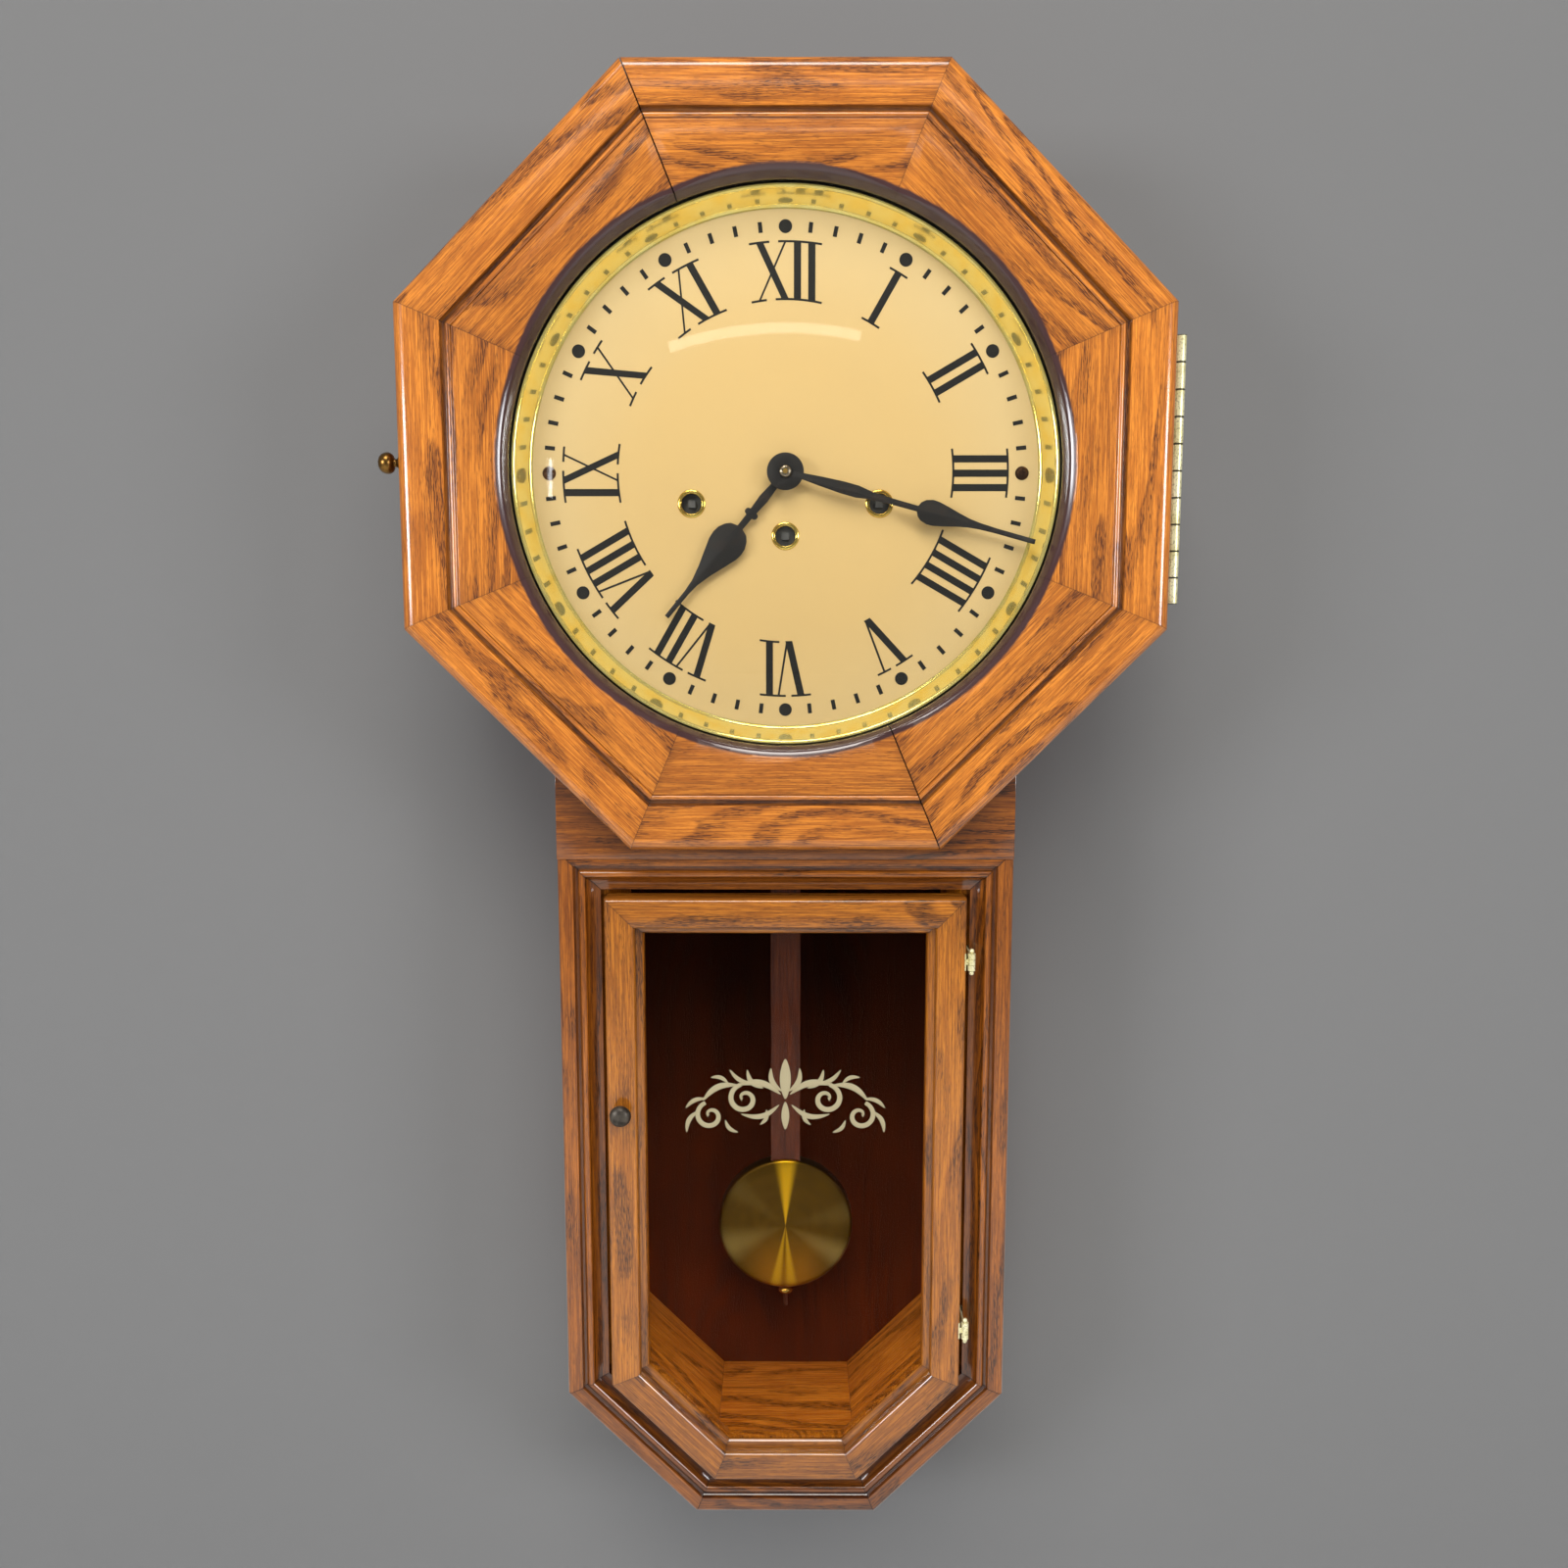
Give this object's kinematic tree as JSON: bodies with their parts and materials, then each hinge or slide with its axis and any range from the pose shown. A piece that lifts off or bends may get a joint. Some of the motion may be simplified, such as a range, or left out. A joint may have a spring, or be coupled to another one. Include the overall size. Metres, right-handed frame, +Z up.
{
  "type": "wall regulator clock",
  "caption": "Wall clock with an octagonal glazed hood, a glazed trunk with a swinging pendulum, doors on hinges, and a geared movement.",
  "frame": {"origin": "centre of the hanger hole, on the plane of the wall", "axes": "+X to the right as seen from the front, +Y into the wall, +Z up; the front faces -Y"},
  "size_m": [0.4698, 0.1545, 0.89],
  "materials": {
    "oak_front": "golden oak with a satin varnish",
    "oak_case": "golden oak with a satin varnish",
    "oak_inside": "darker stained oak, low sheen",
    "walnut_stick": "brown varnished",
    "dial_cream": "satin cream paint",
    "black_enamel": "satin black",
    "polished_brass": "polished",
    "hinge_brass": "satin",
    "bob_brass": "brushed and lacquered",
    "movement_brass": "satin",
    "dark_bronze": "dark patina",
    "steel": "satin",
    "clear_glass": "clear",
    "black_retainer": "matte"
  },
  "bodies": {
    "case": {"back_board": "oak_inside", "hood_staves": "oak_case", "trunk_panels": "oak_case", "trunk_frame": "oak_front", "head_board": "oak_front", "seat_board": "oak_inside", "dial_battens": "oak_inside", "hanger_plate": "hinge_brass", "case_fittings": "hinge_brass", "dial_pan": "dial_cream", "reflector_ring": "polished_brass", "dial_marks": "black_enamel", "dial_screws": "dark_bronze", "winding_grommets": "polished_brass", "front_plate": "movement_brass", "back_plate": "movement_brass", "plate_pillars": "steel", "suspension_cock": "movement_brass", "hammer_bracket": "steel", "chime_rods": "steel"},
    "hood_door": {"hood_moulding": "oak_front", "dial_glass": "clear_glass", "glass_retainer": "black_retainer", "hood_knob": "polished_brass", "hood_door_fittings": "hinge_brass"},
    "trunk_door": {"door_frame": "oak_front", "door_glass": "clear_glass", "glass_beads": "oak_case", "door_knob": "dark_bronze", "trunk_door_fittings": "hinge_brass"},
    "minute_arbor": {"centre_arbor": "movement_brass", "minute_hand": "black_enamel"},
    "hour_pipe": {"hour_wheel": "movement_brass", "hour_hand": "black_enamel"},
    "motion_wheel": {"minute_wheel": "movement_brass"},
    "third_arbor": {"third_wheel": "movement_brass"},
    "escape_arbor": {"escape_wheel": "movement_brass"},
    "pallet_anchor": {"anchor": "steel"},
    "time_drum": {"time_barrel": "movement_brass"},
    "strike_drum": {"strike_barrel": "movement_brass"},
    "chime_drum": {"chime_barrel": "movement_brass"},
    "strike_second": {"strike_wheel": "movement_brass"},
    "chime_second": {"chime_wheel": "movement_brass"},
    "strike_fan": {"strike_fly": "movement_brass"},
    "chime_fan": {"chime_fly": "movement_brass"},
    "time_key_arbor": {"time_winding": "steel"},
    "strike_key_arbor": {"strike_winding": "steel"},
    "chime_key_arbor": {"chime_winding": "steel"},
    "time_pawl": {"time_click": "steel"},
    "strike_pawl": {"strike_click": "steel"},
    "chime_pawl": {"chime_click": "steel"},
    "pendulum": {"pendulum_leader": "movement_brass", "pendulum_stick": "walnut_stick", "pendulum_bob": "bob_brass"},
    "bob_nut": {"rating_nut": "bob_brass"},
    "chime_hammer_1": {"hammer_1": "steel"},
    "chime_hammer_2": {"hammer_2": "steel"},
    "chime_hammer_3": {"hammer_3": "steel"},
    "chime_hammer_4": {"hammer_4": "steel"}
  },
  "joints": [
    {"name": "hood_door_hinge", "type": "hinge", "parent": "case", "child": "hood_door", "pos_m": [0.2303, -0.13225, -0.185], "axis": [0, 0, 1], "range_deg": [0, 110]},
    {"name": "trunk_door_hinge", "type": "hinge", "parent": "case", "child": "trunk_door", "pos_m": [0.1146, -0.1355, -0.601], "axis": [0, 0, 1], "range_deg": [0, 110]},
    {"name": "minute_turn", "type": "hinge", "parent": "case", "child": "minute_arbor", "pos_m": [0, -0.0825, -0.185], "axis": [0, 1, 0], "continuous": true},
    {"name": "hour_turn", "type": "hinge", "parent": "case", "child": "hour_pipe", "pos_m": [0, -0.118, -0.185], "axis": [0, 1, 0], "continuous": true},
    {"name": "motion_turn", "type": "hinge", "parent": "case", "child": "motion_wheel", "pos_m": [0, -0.1095, -0.167], "axis": [0, 1, 0], "continuous": true},
    {"name": "third_turn", "type": "hinge", "parent": "case", "child": "third_arbor", "pos_m": [-0.0198, -0.0825, -0.1652], "axis": [0, 1, 0], "continuous": true},
    {"name": "escape_turn", "type": "hinge", "parent": "case", "child": "escape_arbor", "pos_m": [0, -0.0825, -0.15735], "axis": [0, 1, 0], "continuous": true},
    {"name": "time_drum_turn", "type": "hinge", "parent": "case", "child": "time_drum", "pos_m": [0, -0.0845, -0.2218], "axis": [0, 1, 0], "continuous": true},
    {"name": "strike_drum_turn", "type": "hinge", "parent": "case", "child": "strike_drum", "pos_m": [-0.0562, -0.0805, -0.2028], "axis": [0, 1, 0], "continuous": true},
    {"name": "strike_second_turn", "type": "hinge", "parent": "case", "child": "strike_second", "pos_m": [-0.05006, -0.0825, -0.17119], "axis": [0, 1, 0], "continuous": true},
    {"name": "strike_fan_turn", "type": "hinge", "parent": "case", "child": "strike_fan", "pos_m": [-0.06246, -0.0825, -0.14971], "axis": [0, 1, 0], "continuous": true},
    {"name": "chime_drum_turn", "type": "hinge", "parent": "case", "child": "chime_drum", "pos_m": [0.0562, -0.0805, -0.2028], "axis": [0, 1, 0], "continuous": true},
    {"name": "chime_second_turn", "type": "hinge", "parent": "case", "child": "chime_second", "pos_m": [0.05006, -0.0825, -0.17119], "axis": [0, 1, 0], "continuous": true},
    {"name": "chime_fan_turn", "type": "hinge", "parent": "case", "child": "chime_fan", "pos_m": [0.06246, -0.0825, -0.14971], "axis": [0, 1, 0], "continuous": true},
    {"name": "pendulum_swing", "type": "hinge", "parent": "case", "child": "pendulum", "pos_m": [0, -0.0495, -0.1404], "axis": [0, 1, 0], "range_deg": [-2.5, 2.5]},
    {"name": "anchor_rock", "type": "hinge", "parent": "case", "child": "pallet_anchor", "pos_m": [0, -0.0825, -0.1404], "axis": [0, 1, 0], "range_deg": [-2.5, 2.5]},
    {"name": "bob_nut_turn", "type": "hinge", "parent": "pendulum", "child": "bob_nut", "pos_m": [0, -0.0495, -0.7395], "axis": [0, 0, 1], "continuous": true},
    {"name": "time_wind", "type": "hinge", "parent": "case", "child": "time_key_arbor", "pos_m": [0, -0.0825, -0.2218], "axis": [0, 1, 0], "continuous": true},
    {"name": "strike_wind", "type": "hinge", "parent": "case", "child": "strike_key_arbor", "pos_m": [-0.0562, -0.0825, -0.2028], "axis": [0, 1, 0], "continuous": true},
    {"name": "chime_wind", "type": "hinge", "parent": "case", "child": "chime_key_arbor", "pos_m": [0.0562, -0.0825, -0.2028], "axis": [0, 1, 0], "continuous": true},
    {"name": "time_pawl_lift", "type": "hinge", "parent": "case", "child": "time_pawl", "pos_m": [-0.013, -0.1069, -0.2348], "axis": [0, -1, 0], "range_deg": [0, 12], "stiffness_Nm_per_rad": 0.002},
    {"name": "strike_pawl_lift", "type": "hinge", "parent": "case", "child": "strike_pawl", "pos_m": [-0.0692, -0.1069, -0.2158], "axis": [0, -1, 0], "range_deg": [0, 12], "stiffness_Nm_per_rad": 0.002},
    {"name": "chime_pawl_lift", "type": "hinge", "parent": "case", "child": "chime_pawl", "pos_m": [0.0692, -0.1069, -0.2158], "axis": [0, 1, 0], "range_deg": [0, 12], "stiffness_Nm_per_rad": 0.002},
    {"name": "chime_hammer_1_lift", "type": "hinge", "parent": "case", "child": "chime_hammer_1", "pos_m": [-0.032, -0.041, -0.257], "axis": [-1, 0, 0], "range_deg": [0, 8]},
    {"name": "chime_hammer_2_lift", "type": "hinge", "parent": "case", "child": "chime_hammer_2", "pos_m": [-0.0425, -0.041, -0.257], "axis": [-1, 0, 0], "range_deg": [0, 8]},
    {"name": "chime_hammer_3_lift", "type": "hinge", "parent": "case", "child": "chime_hammer_3", "pos_m": [-0.053, -0.041, -0.257], "axis": [-1, 0, 0], "range_deg": [0, 8]},
    {"name": "chime_hammer_4_lift", "type": "hinge", "parent": "case", "child": "chime_hammer_4", "pos_m": [-0.0635, -0.041, -0.257], "axis": [-1, 0, 0], "range_deg": [0, 8]}
  ],
  "couplings": [
    {"joint": "hour_turn", "follows": "minute_turn", "ratio": 0.083333},
    {"joint": "motion_turn", "follows": "minute_turn", "ratio": -0.33333},
    {"joint": "third_turn", "follows": "minute_turn", "ratio": -9},
    {"joint": "escape_turn", "follows": "minute_turn", "ratio": 82.286},
    {"joint": "time_drum_turn", "follows": "minute_turn", "ratio": -0.14286},
    {"joint": "strike_second_turn", "follows": "strike_drum_turn", "ratio": -6},
    {"joint": "strike_fan_turn", "follows": "strike_drum_turn", "ratio": 40.5},
    {"joint": "chime_second_turn", "follows": "chime_drum_turn", "ratio": -6},
    {"joint": "chime_fan_turn", "follows": "chime_drum_turn", "ratio": 40.5},
    {"joint": "anchor_rock", "follows": "pendulum_swing", "ratio": 1}
  ]
}
